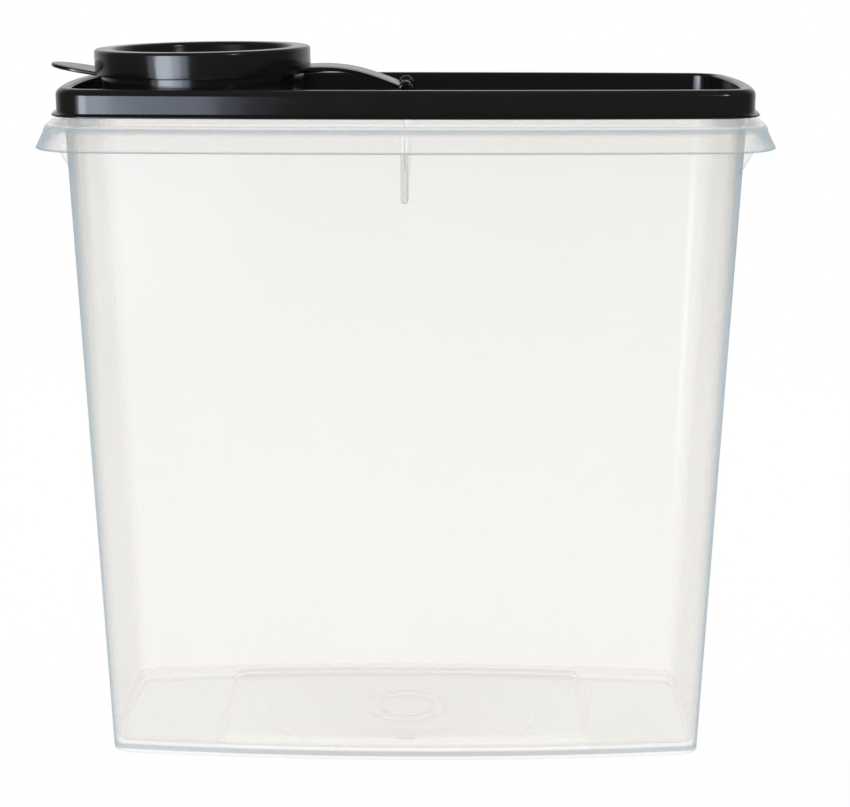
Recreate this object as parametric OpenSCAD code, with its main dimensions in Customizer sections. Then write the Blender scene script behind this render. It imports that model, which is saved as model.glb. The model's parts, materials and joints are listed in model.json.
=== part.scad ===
// Dry-food keeper for cereal: a clear moulded tub, a pressed-on lid with a pouring
// neck, and a cap on a strap that flips over on a hinge in the middle of the lid.
// Millimetres. +Z is up, the origin is under the middle of the base, and the
// pouring neck is at -X.

/* [Tub] */
// Height of the tub's rim above the table
tub_h = 236.9; // [150:0.1:320]
// Width over the rim, at mid-depth
rim_w = 235; // [200:0.5:320]
// Depth over the rim, at mid-width
rim_d = 89.6; // [84:0.1:120]
// Corner radius of the rim
rim_r = 12; // [8:0.5:20]
// Radius of the slight outward bow of the rim's long sides
rim_bow_r = 1600; // [800:50:4000]
// Radius of the slight outward bow of the rim's ends
rim_end_bow_r = 260; // [150:10:900]
// Width over the base, at mid-depth
base_w = 213.8; // [180:0.2:300]
// Depth over the base, at mid-width
base_d = 82.8; // [70:0.1:110]
// Corner radius of the base
base_r = 6; // [4:0.5:20]
// Radius of the bow of the base's long sides
base_bow_r = 850; // [500:10:3000]
// Radius of the bow of the base's ends
base_end_bow_r = 450; // [200:10:900]
// Wall thickness of the tub
wall = 1.6; // [1.2:0.1:2.2]
// Thickness of the floor
floor_t = 1.8; // [1.2:0.1:3]
// Height of the foot ring under the floor
foot_h = 1.8; // [1:0.1:3]
// Width of the foot ring
foot_w = 2.6; // [2.2:0.1:4]
// Radius where the wall turns under the base
base_edge_r = 1.2; // [0.6:0.1:2]
// Radius where the wall meets the floor inside
floor_fillet = 2.4; // [1:0.1:4]

/* [Floor panel] */
// Width of the raised middle panel of the floor
panel_w = 135; // [80:1:160]
// How far the panel is raised
panel_rise = 3; // [1:0.1:5]
// Width of the sloped step round the panel
panel_slope = 3; // [1:0.1:6]
// Flat floor left between the panel's step and the fillet of the wall
panel_in = 0.6; // [0.3:0.1:4]
// Outer diameter of the plain moulded ring under the panel
ring_d = 31.2; // [16:0.1:50]
// Width of the moulded ring
ring_w = 1.2; // [0.6:0.1:3]
// Diameter of the inner moulded ring
inner_ring_d = 21; // [8:0.1:40]
// Height of the moulded rings
ring_t = 0.6; // [0.2:0.1:1]
// Side of the square gate pad in front of the ring
pad_w = 4.6; // [2:0.1:8]
// Flat left between the gate pad and the panel's front step
pad_gap = 1.6; // [0.4:0.1:8]

/* [Flange] */
// Height of the collar above the shelf, up to the rim
collar_h = 10.4; // [9:0.1:16]
// How far the collar stands out from the wall below it
collar_out = 1; // [0.4:0.1:1.4]
// How far the shelf stands out from the collar
shelf_out = 6.3; // [3.6:0.1:8]
// Radius of the shoulder between the shelf and the skirt
shoulder_r = 2.4; // [1.2:0.1:3]
// Thickness of the shelf
shelf_t = 1.4; // [1:0.1:2.4]
// How far the skirt flares out below the shelf
skirt_flare = 2.7; // [1:0.1:5]
// Height of the flared skirt, from the shelf down
skirt_h = 8.2; // [5:0.1:14]
// Thickness of the flared skirt
skirt_t = 1.2; // [0.8:0.1:2]
// Thickness of the four webs under the flange
web_t = 2.6; // [1.5:0.1:4]
// Length of the webs below the shelf
web_h = 24.6; // [16:0.1:40]

/* [Lid] */
// Thickness of the lid's rim where it sits on the tub
lid_t = 1.45; // [1.2:0.05:2]
// Gap over the tub's rim when the lid is down
seat_gap = 0.05; // [0.02:0.01:0.2]
// Thickness of the lid's outer skirt
lid_wall = 1.4; // [1:0.1:2]
// Gap between the lid's skirt and the tub's rim
skirt_gap = 0.3; // [0.2:0.05:0.6]
// Gap between the lid's inner wall and the tub's wall
plug_gap = 0.4; // [0.2:0.05:0.8]
// Thickness of the lid's inner wall
lid_inner_t = 1.3; // [1:0.1:2]
// Height of the lid's skirt
lid_h = 9.2; // [8:0.1:10.5]
// How far the lip at the skirt's lower edge stands out
lip_out = 1.7; // [0.8:0.1:2.4]
// Thickness of the lip
lip_t = 0.8; // [0.6:0.1:1.2]
// Radius of the lid's outer top edge
lid_edge_r = 2.4; // [1:0.1:3]
// Depth of the tray in the lid's top
tray_h = 7.5; // [5:0.1:8]
// Thickness of the tray's floor
deck_t = 1.3; // [1:0.1:2]

/* [Pouring neck] */
// Distance of the neck from the middle of the lid
neck_x = 71.1; // [66:0.1:72]
// Outer diameter of the neck
neck_d = 70.6; // [60:0.1:71]
// Wall thickness of the neck
neck_t = 1.8; // [1.2:0.1:2.4]
// Height of the neck above the lid's rim
neck_h = 9.5; // [6:0.1:14]
// Reach of the flare where the neck stands on the tray
neck_flare = 3; // [1:0.1:3.2]

/* [Spout cap] */
// Thickness of the cap's band
cap_wall = 1.4; // [1:0.1:2]
// Gap between the band and the neck
cap_gap = 0.9; // [0.6:0.05:1.2]
// Gap between the plug and the neck's bore
cap_plug_gap = 0.3; // [0.2:0.05:0.6]
// Height of the band
cap_h = 8.9; // [6:0.1:11]
// Thickness of the cap's top ring over the neck
cap_top_t = 1.5; // [1:0.1:2.5]
// Gap between the neck's top and the cap, in the middle
cap_seat = 0.7; // [0.6:0.05:1.2]
// Width of the cap's top ring
cap_ring_w = 6.7; // [5.5:0.1:9]
// Radius of the cap's outer top edge
cap_edge_r = 1.1; // [0.6:0.1:1.4]
// Radius of the edge between the top ring and the dish
dish_lip_r = 1.5; // [0.6:0.1:2]
// Depth of the dish in the cap
dish_h = 5.7; // [3:0.1:6]
// Thickness of the dish's floor
dish_t = 1.4; // [1:0.1:2]
// How much narrower the plug is at its foot
plug_draft = 2.2; // [1.8:0.1:3]
// How much higher the cap sits at its strap, in degrees
cap_tilt = 0.8; // [0:0.1:0.8]
// Width of the thumb tab
tab_w = 23; // [14:0.5:28]
// Reach of the thumb tab beyond the band
tab_reach = 15.8; // [13:0.1:17]
// Thickness of the thumb tab
tab_t = 1.3; // [0.8:0.1:2]
// Upward slope of the thumb tab, in degrees
tab_slope = 10; // [0:1:20]

/* [Strap and hinge] */
// Width of the strap between the cap and the hinge
strap_w = 24; // [14:0.5:28]
// Thickness of the strap
strap_t = 1; // [0.7:0.1:1.6]
// Height of the strap's root above the lid's rim
strap_z = 5; // [4.4:0.1:6.4]
// How far the strap's curve is pulled up before it falls to the hinge
strap_arch = 1.4; // [0.6:0.1:2.4]
// How far the strap spreads along the band on each side at its root
strap_flare = 5; // [2:0.5:8]
// Diameter of the hinge barrel
barrel_d = 4.8; // [4:0.1:5]
// Diameter of the stub pins at the barrel's ends
pin_d = 2.2; // [1.6:0.1:2.6]
// Running gap around the stub pins
pin_gap = 0.05; // [0.02:0.01:0.08]
// Depth of the hinge's axis below the lid's rim
hinge_drop = 1.7; // [1:0.1:2.2]
// Thickness of the two ears that hold the stub pins
ear_t = 2.5; // [1.5:0.1:4]
// Gap between the barrel and each ear
ear_gap = 0.3; // [0.2:0.05:0.6]

/* [Hidden] */
$fn = 96;

plastic_clear = [0.93, 0.94, 0.92];
plastic_black = [0.09, 0.09, 0.095];
corner_steps = 8;
long_steps = 10;
end_steps = 4;
skirt_round = 0.4;
rim_round = 0.4;
edge_round = 0.3;
foot_slope = 0.4;
web_foot = 1.2;
plug_round = 0.5;
tray_round = 1;

shelf_z = tub_h - collar_h;
shelf_under_z = shelf_z - shelf_t;
flange_z = shelf_z - skirt_h;
skirt_out = shelf_out + skirt_flare;
floor_z = foot_h + floor_t;
panel_inset = wall + floor_fillet + panel_in;
panel_under_inset = panel_inset + floor_t / 2;
pad_y = base_d / 2 - panel_under_inset - panel_slope - pad_gap - pad_w / 2;
lid_top_z = tub_h + seat_gap + lid_t;
deck_z = lid_top_z - tray_h;
deck_under_z = deck_z - deck_t;
tray_off = -(wall + plug_gap + lid_inner_t);
neck_top_z = lid_top_z + neck_h;
neck_r = neck_d / 2;
bore_r = neck_r - neck_t;
cap_r = neck_r + cap_gap + cap_wall;
cap_top_z = neck_top_z + cap_seat + cap_top_t;
cap_foot_z = cap_top_z - cap_h;
dish_z = cap_top_z - dish_h;
barrel_r = barrel_d / 2;
ear_r = barrel_r + 0.2;
hinge_z = lid_top_z - hinge_drop;
ear_y = strap_w / 2 + ear_gap;
strap_root_x = -neck_x + cap_r - 3 * cap_wall;
strap_root_z = lid_top_z + strap_z;

// An outline with bowed sides is given as
// [half width, half depth, corner radius, long side radius, end radius].
rim_outline = [rim_w / 2, rim_d / 2, rim_r, rim_bow_r, rim_end_bow_r];
base_outline = [base_w / 2, base_d / 2, base_r, base_bow_r, base_end_bow_r];

// The same outline moved outwards by a distance.
function grown(o, d) = [for (v = o) v + d];

// The wall's outer outline at a height: it tapers up to the shelf.
function outline_at(z) =
    let (k = min(1, max(0, z / shelf_z)))
    base_outline * (1 - k) + grown(rim_outline, -collar_out) * k;

// Centre of the corner arc that runs into the long side's arc and the end's arc.
function corner_centre(o) =
    let (
        c1 = [0, o[1] - o[3]],
        c2 = [o[0] - o[4], 0],
        r1 = o[3] - o[2],
        r2 = o[4] - o[2],
        d = norm(c2 - c1),
        along = (r1 * r1 - r2 * r2 + d * d) / (2 * d),
        across = sqrt(r1 * r1 - along * along),
        u = (c2 - c1) / d
    )
    c1 + along * u + across * [u[1], -u[0]];

function arc(c, r, from, to, steps) =
    [for (i = [0:steps - 1]) let (a = from + (to - from) * i / steps) c + r * [cos(a), sin(a)]];

// Points of an outline, anticlockwise from the right end of the long side at +Y.
function outline_points(o) =
    let (
        k = corner_centre(o),
        a = atan2(k[1] - o[1] + o[3], k[0]),
        b = atan2(k[1], k[0] - o[0] + o[4]),
        long_c = [0, o[1] - o[3]],
        end_c = [o[0] - o[4], 0],
        top = arc(long_c, o[3], a, 180 - a, long_steps),
        left_top = arc([-k[0], k[1]], o[2], 180 - a, 180 - b, corner_steps),
        left = arc([-end_c[0], 0], o[4], 180 - b, 180 + b, end_steps),
        left_low = arc([-k[0], -k[1]], o[2], 180 + b, 180 + a, corner_steps),
        low = arc([0, -long_c[1]], o[3], 180 + a, 360 - a, long_steps),
        right_low = arc([k[0], -k[1]], o[2], 360 - a, 360 - b, corner_steps),
        right = arc(end_c, o[4], 360 - b, 360 + b, end_steps),
        right_top = arc(k, o[2], 360 + b, 360 + a, corner_steps)
    )
    concat(top, left_top, left, left_low, low, right_low, right, right_top);

// A skin through rings at the given [outline, height] stations. The profile either
// closes on itself, like a tyre, or ends in two flat faces.
module loft(stations, closed = false) {
    rings = [for (s = stations) [for (p = outline_points(s[0])) [p[0], p[1], s[1]]]];
    n = len(rings[0]);
    m = len(rings);
    last = closed ? m - 1 : m - 2;
    sides = [
        for (i = [0:last])
            for (j = [0:n - 1])
                let (
                    a = i * n + j,
                    b = i * n + (j + 1) % n,
                    c = ((i + 1) % m) * n + j,
                    d = ((i + 1) % m) * n + (j + 1) % n
                )
                for (f = [[a, c, b], [b, c, d]]) f
    ];
    caps = closed ? [] : [[for (j = [0:n - 1]) j], [for (j = [n - 1:-1:0]) (m - 1) * n + j]];
    polyhedron(points = [for (r = rings) for (p = r) p], faces = concat(sides, caps));
}

// The wall's skin from under the base, up the outside, round the flange and the
// rim, and down the inside to the floor.
module tub_skin() {
    stations = concat(
        [
            [grown(base_outline, -foot_w - foot_slope), foot_h],
            [grown(base_outline, -foot_w), 0]
        ],
        [for (a = [0:30:90])
            let (z = base_edge_r * (1 - cos(a)))
            [grown(outline_at(z), -base_edge_r * (1 - sin(a))), z]],
        [
            [outline_at(shelf_under_z), shelf_under_z],
            [grown(rim_outline, shelf_out - shoulder_r), shelf_under_z],
            [grown(rim_outline, shelf_out - skirt_t), shelf_z - shoulder_r],
            [grown(rim_outline, skirt_out - skirt_t), flange_z],
            [grown(rim_outline, skirt_out - skirt_round), flange_z],
            [grown(rim_outline, skirt_out), flange_z + skirt_round]
        ],
        [for (a = [18:24:90])
            [grown(rim_outline, shelf_out - shoulder_r * (1 - cos(a))),
                shelf_z - shoulder_r * (1 - sin(a))]],
        [
            [grown(rim_outline, rim_round), shelf_z],
            [rim_outline, shelf_z + rim_round],
            [rim_outline, tub_h - rim_round],
            [grown(rim_outline, -rim_round), tub_h],
            [grown(rim_outline, -wall + rim_round), tub_h],
            [grown(rim_outline, -wall), tub_h - rim_round],
            [grown(rim_outline, -wall), shelf_z],
            [grown(outline_at(shelf_under_z), -wall), shelf_under_z]
        ],
        [for (a = [0:30:90])
            let (z = floor_z + floor_fillet * (1 - sin(a)))
            [grown(outline_at(z), -wall - floor_fillet * (1 - cos(a))), z]]
    );
    loft(stations);
}

// The raised panel as a block with sloped sides, for both faces of the floor. Its
// ends lie across the tub, and its long sides follow the wall at an inset.
module panel_block(z0, z1, inset) {
    foot_x = panel_w / 2 + panel_slope / 2;
    top_x = panel_w / 2 - panel_slope / 2;
    step_z = z1 - panel_rise;
    intersection() {
        rotate([90, 0, 0])
            linear_extrude(height = 2 * base_d, center = true)
                polygon([
                    [-foot_x, z0], [foot_x, z0], [foot_x, step_z],
                    [top_x, z1], [-top_x, z1], [-foot_x, step_z]
                ]);
        loft([
            [grown(base_outline, -inset), z0 - 1],
            [grown(base_outline, -inset), step_z],
            [grown(base_outline, -inset - panel_slope), z1],
            [grown(base_outline, -inset - panel_slope), z1 + 1]
        ]);
    }
}

// The plain rings and the gate pad that the mould leaves under the panel.
module mould_marks() {
    under_z = foot_h + panel_rise - ring_t;
    mark_h = ring_t + floor_t / 2;
    for (d = [ring_d, inner_ring_d])
        translate([0, 0, under_z])
            difference() {
                cylinder(d = d, h = mark_h);
                translate([0, 0, -1])
                    cylinder(d = d - 2 * ring_w, h = mark_h + 2);
            }
    translate([-pad_w / 2, -pad_y - pad_w / 2, under_z])
        cube([pad_w, pad_w, mark_h]);
}

// A web under the flange, standing out from the wall along +X. The axis picks
// which half size of the outline the wall stands at: 0 at the ends, 1 at the sides.
module web(axis) {
    foot_z = shelf_z - web_h;
    shelf_in_z = shelf_z - shelf_t / 2;
    foot_x = outline_at(foot_z)[axis];
    top_x = outline_at(shelf_z)[axis];
    rim_x = rim_outline[axis];
    rotate([90, 0, 0])
        linear_extrude(height = web_t, center = true)
            polygon([
                [foot_x - wall / 2, foot_z - web_foot],
                [foot_x + web_foot / 2, foot_z + web_foot / 2],
                [rim_x + skirt_out - 0.8 * skirt_t, flange_z + skirt_t / 2],
                [rim_x + shelf_out - skirt_t / 2, shelf_z - shoulder_r],
                [rim_x + shelf_out - shoulder_r, shelf_in_z],
                [top_x - wall / 2, shelf_in_z]
            ]);
}

module tub() {
    color(plastic_clear) {
        difference() {
            union() {
                tub_skin();
                panel_block(floor_z - floor_t / 2, floor_z + panel_rise, panel_inset);
            }
            panel_block(foot_h / 2, foot_h + panel_rise, panel_under_inset);
        }
        mould_marks();
        for (a = [0, 180]) {
            rotate([0, 0, a]) web(0);
            rotate([0, 0, a + 90]) web(1);
        }
    }
}

// The lid's shell: the tray's floor, the inner wall with the channel that takes the
// tub's rim, the outer skirt with its lip, and the rim's rounded top. Offsets are
// from the tub's rim.
module lid_shell() {
    foot_z = lid_top_z - lid_h;
    ceiling_z = lid_top_z - lid_t;
    out = skirt_gap + lid_wall;
    stations = concat(
        [
            [grown(rim_outline, tray_off + lid_inner_t), deck_under_z],
            [grown(rim_outline, tray_off + lid_inner_t), ceiling_z],
            [grown(rim_outline, skirt_gap), ceiling_z],
            [grown(rim_outline, skirt_gap), foot_z],
            [grown(rim_outline, out + lip_out), foot_z],
            [grown(rim_outline, out + lip_out), foot_z + lip_t / 2],
            [grown(rim_outline, out + lip_out / 2), foot_z + lip_t],
            [grown(rim_outline, out), foot_z + 2 * lip_t]
        ],
        [for (a = [0:22.5:90])
            [grown(rim_outline, out - lid_edge_r * (1 - cos(a))),
                lid_top_z - lid_edge_r * (1 - sin(a))]],
        [
            [grown(rim_outline, tray_off + tray_round), lid_top_z],
            [grown(rim_outline, tray_off + 0.3 * tray_round), lid_top_z - 0.3 * tray_round],
            [grown(rim_outline, tray_off), lid_top_z - tray_round],
            [grown(rim_outline, tray_off), deck_z + tray_round],
            [grown(rim_outline, tray_off - 0.3 * tray_round), deck_z + 0.3 * tray_round],
            [grown(rim_outline, tray_off - tray_round), deck_z]
        ]
    );
    loft(stations);
}

// The pouring neck's outside, with a flared foot that starts inside the tray's floor.
module neck_body() {
    flare_h = 1.07 * tray_h;
    translate([-neck_x, 0, 0])
        rotate_extrude()
            polygon(concat(
                [
                    [0, deck_z - deck_t / 2],
                    [neck_r + 1.25 * neck_flare, deck_z - deck_t / 2],
                    [neck_r + 0.75 * neck_flare, deck_z + flare_h * 0.05]
                ],
                [for (a = [30:15:90])
                    [neck_r + neck_flare * (1 - sin(a)), deck_z + flare_h * (1 - cos(a))]],
                [
                    [neck_r, neck_top_z - edge_round],
                    [neck_r - edge_round, neck_top_z],
                    [0, neck_top_z]
                ]
            ));
}

// An ear on the tray that holds one stub pin of the cap's hinge.
module ear() {
    translate([0, ear_y + ear_t, 0])
        rotate([90, 0, 0])
            linear_extrude(height = ear_t) {
                translate([0, hinge_z]) circle(r = ear_r);
                translate([-ear_r, deck_z - deck_t / 2])
                    square([2 * ear_r, hinge_z - deck_z + deck_t / 2]);
            }
}

module lid() {
    color(plastic_black) {
        difference() {
            union() {
                lid_shell();
                neck_body();
            }
            translate([-neck_x, 0, deck_under_z - 1])
                cylinder(r = bore_r, h = neck_top_z);
        }
        difference() {
            union() {
                ear();
                mirror([0, 1, 0]) ear();
            }
            translate([0, 0, hinge_z])
                rotate([90, 0, 0])
                    cylinder(d = pin_d + 2 * pin_gap, h = strap_w + 4 * ear_t, center = true);
        }
    }
}

// The cap's round body: a band round the neck, a rounded top ring, and a dish whose
// outside is the plug in the neck's bore.
module cap_body() {
    band_in = cap_r - cap_wall;
    plug_r = bore_r - cap_plug_gap;
    dish_r = cap_r - cap_ring_w;
    dish_low_r = dish_r - plug_draft / 2;
    ring_under_z = cap_top_z - cap_top_t;
    plug_foot_z = dish_z - dish_t;
    rotate_extrude()
        polygon(concat(
            [
                [band_in, cap_foot_z],
                [cap_r - edge_round, cap_foot_z],
                [cap_r, cap_foot_z + edge_round]
            ],
            [for (a = [0:30:90])
                [cap_r - cap_edge_r * (1 - cos(a)), cap_top_z - cap_edge_r * (1 - sin(a))]],
            [for (a = [90:-30:0])
                [dish_r + dish_lip_r * (1 - cos(a)), cap_top_z - dish_lip_r * (1 - sin(a))]],
            [
                [dish_low_r, dish_z + plug_round],
                [dish_low_r - plug_round, dish_z],
                [0, dish_z],
                [0, plug_foot_z],
                [plug_r - plug_draft - plug_round, plug_foot_z],
                [plug_r - plug_draft, plug_foot_z + plug_round],
                [plug_r, ring_under_z - 2 * plug_round],
                [plug_r, ring_under_z],
                [band_in, ring_under_z]
            ]
        ));
}

// The thumb tab: a tongue with a round end that rises away from the band.
module thumb_tab() {
    root_z = cap_foot_z + edge_round;
    root_in = 3 * cap_wall;
    end_x = cap_r + tab_reach - tab_w / 2;
    translate([-cap_r, 0, root_z])
        rotate([0, tab_slope, 0])
            translate([cap_r, 0, 0])
                linear_extrude(height = tab_t) {
                    translate([-end_x, 0]) circle(d = tab_w);
                    translate([-end_x, -tab_w / 2]) square([end_x - cap_r + root_in, tab_w]);
                }
}

// The strap's upper line, from inside the cap's band to the hinge barrel, as the
// four handles of one smooth curve.
strap_line = [
    [strap_root_x, strap_root_z],
    [0.55 * strap_root_x, strap_root_z + strap_arch],
    [0.38 * strap_root_x, hinge_z + 2.6 * barrel_r],
    [-barrel_r / 4, hinge_z + 0.3 * barrel_r]
];

function curve_point(h, t) =
    let (u = 1 - t)
    u * u * u * h[0] + 3 * u * u * t * h[1] + 3 * u * t * t * h[2] + t * t * t * h[3];

function curve_normal(h, t) =
    let (
        u = 1 - t,
        d = u * u * (h[1] - h[0]) + 2 * u * t * (h[2] - h[1]) + t * t * (h[3] - h[2])
    )
    [-d[1], d[0]] / norm(d);

module strap() {
    steps = 14;
    ts = [for (i = [0:steps]) i / steps];
    upper = [for (t = ts) curve_point(strap_line, t)];
    lower = [for (i = [steps:-1:0]) upper[i] - strap_t * curve_normal(strap_line, ts[i])];
    rotate([90, 0, 0])
        linear_extrude(height = strap_w, center = true)
            polygon(concat(upper, lower));
}

// The strap's root spreads along the band.
module strap_root() {
    half = [
        [strap_root_x - strap_flare, strap_w / 2 + strap_flare],
        [strap_root_x + 0.25 * strap_flare, strap_w / 2 + 0.45 * strap_flare],
        [strap_root_x + strap_flare, strap_w / 2]
    ];
    translate([0, 0, strap_root_z - strap_t])
        linear_extrude(height = strap_t)
            polygon(concat(half, [for (i = [2:-1:0]) [half[i][0], -half[i][1]]]));
}

module hinge_barrel() {
    pin_reach = ear_y + ear_t;
    translate([0, 0, hinge_z])
        rotate([90, 0, 0]) {
            cylinder(d = barrel_d, h = strap_w, center = true);
            cylinder(d = pin_d, h = 2 * pin_reach, center = true);
        }
}

module spout_cap() {
    color(plastic_black) {
        translate([-neck_x, 0, cap_top_z])
            rotate([0, -cap_tilt, 0])
                translate([0, 0, -cap_top_z]) {
                    cap_body();
                    difference() {
                        thumb_tab();
                        cylinder(r = cap_r - cap_wall / 2, h = 2 * cap_top_z);
                    }
                }
        difference() {
            union() {
                strap();
                strap_root();
            }
            translate([-neck_x, 0, 0])
                cylinder(r = cap_r - cap_wall / 2, h = 2 * cap_top_z);
        }
        hinge_barrel();
    }
}

tub();
lid();
spout_cap();
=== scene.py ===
# %% [markdown]
# # A cereal container with a flip spout
# The real object is three injection mouldings: a milky clear tub, a black lid pressed onto
# its rim, and a black cap that covers a round pouring neck and flips over on a strap. The
# solid model fixes every size and joint. This lesson makes a finer copy of each moulding in
# the same place, gives the two plastics their finish, and lights them like a catalogue photo.

# %% Start from the solid model
import json
import math

import bmesh
import bpy
from mathutils import Matrix, Vector

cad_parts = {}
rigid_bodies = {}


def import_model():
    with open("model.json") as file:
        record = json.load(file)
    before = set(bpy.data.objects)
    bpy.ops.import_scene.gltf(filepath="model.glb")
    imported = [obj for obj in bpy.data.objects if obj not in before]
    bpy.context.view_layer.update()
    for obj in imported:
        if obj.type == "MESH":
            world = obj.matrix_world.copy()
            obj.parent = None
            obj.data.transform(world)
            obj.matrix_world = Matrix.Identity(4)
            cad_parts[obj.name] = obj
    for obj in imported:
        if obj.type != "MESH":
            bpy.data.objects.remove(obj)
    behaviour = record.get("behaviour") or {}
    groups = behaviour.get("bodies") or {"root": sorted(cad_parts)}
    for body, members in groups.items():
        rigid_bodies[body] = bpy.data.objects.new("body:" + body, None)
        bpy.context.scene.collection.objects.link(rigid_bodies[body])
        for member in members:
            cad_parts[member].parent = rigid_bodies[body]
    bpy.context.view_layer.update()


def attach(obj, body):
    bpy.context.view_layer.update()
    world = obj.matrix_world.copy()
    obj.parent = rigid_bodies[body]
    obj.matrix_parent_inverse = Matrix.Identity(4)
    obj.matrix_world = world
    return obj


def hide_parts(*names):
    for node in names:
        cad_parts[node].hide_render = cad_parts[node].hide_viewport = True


MM = 0.001
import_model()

# %% [markdown]
# The tub's outline isn't a plain rounded rectangle: its long sides and its ends bow outwards
# a little, as moulded walls do so that they don't look hollow. One function gives that
# outline as eight arcs that run into each other, so every ring of every piece fits the next.
# An outline is (half width, half depth, corner radius, side bow radius, end bow radius).

# %% The outline of the tub and the lid
RIM = (117.5, 44.8, 12, 1600, 260)
BASE = (106.9, 41.4, 6, 850, 450)
SIDE_STEPS = 24
CORNER_STEPS = 14
END_STEPS = 12


def grown(outline, offset):
    """The same outline, moved outwards by an offset."""
    return tuple(value + offset for value in outline)


def between(low, high, share):
    """An outline part of the way from one to another."""
    return tuple(a + (b - a) * share for a, b in zip(low, high))


def corner_centre(outline):
    """The middle of the corner arc that touches the side's arc and the end's arc."""
    half_w, half_d, corner_r, side_r, end_r = outline
    side_y = half_d - side_r
    end_x = half_w - end_r
    to_side = side_r - corner_r
    to_end = end_r - corner_r
    apart = math.hypot(end_x, side_y)
    along = (to_side ** 2 - to_end ** 2 + apart ** 2) / (2 * apart)
    across = math.sqrt(to_side ** 2 - along ** 2)
    ux = end_x / apart
    uy = -side_y / apart
    return along * ux + across * uy, side_y + along * uy - across * ux


def arc(centre, radius, start, stop, steps):
    """Points on an arc, without its last one."""
    angles = [start + (stop - start) * i / steps for i in range(steps)]
    return [(centre[0] + radius * math.cos(a), centre[1] + radius * math.sin(a)) for a in angles]


def outline_points(outline):
    """The outline's points, anticlockwise."""
    half_w, half_d, corner_r, side_r, end_r = outline
    x, y = corner_centre(outline)
    a = math.atan2(y - half_d + side_r, x)
    b = math.atan2(y, x - half_w + end_r)
    side_y = half_d - side_r
    end_x = half_w - end_r
    turn = math.pi
    return (
        arc((0, side_y), side_r, a, turn - a, SIDE_STEPS)
        + arc((-x, y), corner_r, turn - a, turn - b, CORNER_STEPS)
        + arc((-end_x, 0), end_r, turn - b, turn + b, END_STEPS)
        + arc((-x, -y), corner_r, turn + b, turn + a, CORNER_STEPS)
        + arc((0, -side_y), side_r, turn + a, 2 * turn - a, SIDE_STEPS)
        + arc((x, -y), corner_r, 2 * turn - a, 2 * turn - b, CORNER_STEPS)
        + arc((end_x, 0), end_r, -b, b, END_STEPS)
        + arc((x, y), corner_r, b, a, CORNER_STEPS)
    )


print("points in one outline:", len(outline_points(RIM)))

# %% [markdown]
# A thin moulding follows its profile like a lathe tool that runs round the outline. So a mesh
# circle is laid on the first outline, and its edge is extruded again and again, each time
# onto the outline and height of the next point of the profile. Both ends are filled.

# %% Rings extruded along a profile
ROUND_STEPS = 192


def start_ring(name, places):
    """A mesh circle in edit mode, each of its vertices moved to one of the places."""
    bpy.ops.object.select_all(action="DESELECT")
    bpy.ops.mesh.primitive_circle_add(vertices=len(places), radius=1)
    piece = bpy.context.object
    piece.name = name
    bpy.ops.object.mode_set(mode="EDIT")
    bpy.ops.mesh.select_mode(type="VERT")
    bpy.ops.mesh.select_all(action="SELECT")
    edited = bmesh.from_edit_mesh(piece.data)
    for vertex, place in zip(edited.verts, places):
        vertex.co = [value * MM for value in place]
    bmesh.update_edit_mesh(piece.data)
    return piece


def extrude_ring(piece, places):
    """Extrudes the selected ring, and moves each new vertex to its place."""
    edited = bmesh.from_edit_mesh(piece.data)
    ring = [vertex for vertex in edited.verts if vertex.select]
    order = {tuple(vertex.co): i for i, vertex in enumerate(ring)}
    bpy.ops.mesh.extrude_region_move()
    edited = bmesh.from_edit_mesh(piece.data)
    for vertex in edited.verts:
        if vertex.select:
            vertex.co = [value * MM for value in places[order[tuple(vertex.co)]]]
    bmesh.update_edit_mesh(piece.data)


def level(outline, z):
    """An outline's points at a height."""
    return [(x, y, z) for x, y in outline_points(outline)]


def close_shell():
    """Merges doubled vertices of the piece in edit mode and turns all its faces outwards."""
    bpy.ops.mesh.select_all(action="SELECT")
    bpy.ops.mesh.remove_doubles(threshold=0.001 * MM)
    bpy.ops.mesh.dissolve_degenerate(threshold=0.0005 * MM)
    bpy.ops.mesh.select_all(action="SELECT")
    bpy.ops.mesh.normals_make_consistent(inside=False)
    bpy.ops.object.mode_set(mode="OBJECT")


def loft(name, stations):
    """A closed shell through (outline, height) stations, filled at both ends."""
    piece = start_ring(name, level(*stations[0]))
    for station in stations[1:]:
        extrude_ring(piece, level(*station))
    bpy.ops.mesh.edge_face_add()
    bpy.ops.mesh.select_all(action="DESELECT")
    bpy.ops.mesh.select_non_manifold()
    bpy.ops.mesh.edge_face_add()
    close_shell()
    return piece


def turned(name, profile, steps, x=0.0):
    """A closed (radius, height) profile spun round an upright line at x."""
    piece = start_ring(name, [(r + x, 0, z) for r, z in profile])
    bpy.ops.mesh.select_all(action="SELECT")
    bpy.ops.mesh.spin(steps=steps, angle=2 * math.pi, center=(x * MM, 0, 0), axis=(0, 0, 1))
    close_shell()
    return piece


def quarter(steps):
    """Shares (across, up) of a rounded edge, from level to upright."""
    angles = [0.5 * math.pi * i / steps for i in range(steps + 1)]
    return [(math.sin(a), 1 - math.cos(a)) for a in angles]


def select(*pieces):
    """Selects pieces, the first of them active."""
    bpy.ops.object.select_all(action="DESELECT")
    for piece in pieces:
        piece.select_set(True)
    bpy.context.view_layer.objects.active = pieces[0]


def join(name, *pieces):
    """Makes several meshes one piece."""
    select(*pieces)
    bpy.ops.object.join()
    piece = bpy.context.object
    piece.name = name
    piece.data.name = name
    return piece


def cut_or_fuse(piece, other, operation):
    """Applies a Boolean with another mesh and deletes that mesh."""
    select(piece)
    modifier = piece.modifiers.new("boolean", "BOOLEAN")
    modifier.operation = operation
    modifier.solver = "EXACT"
    modifier.object = other
    bpy.ops.object.modifier_apply(modifier=modifier.name)
    bpy.data.objects.remove(other, do_unlink=True)
    return piece


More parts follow.
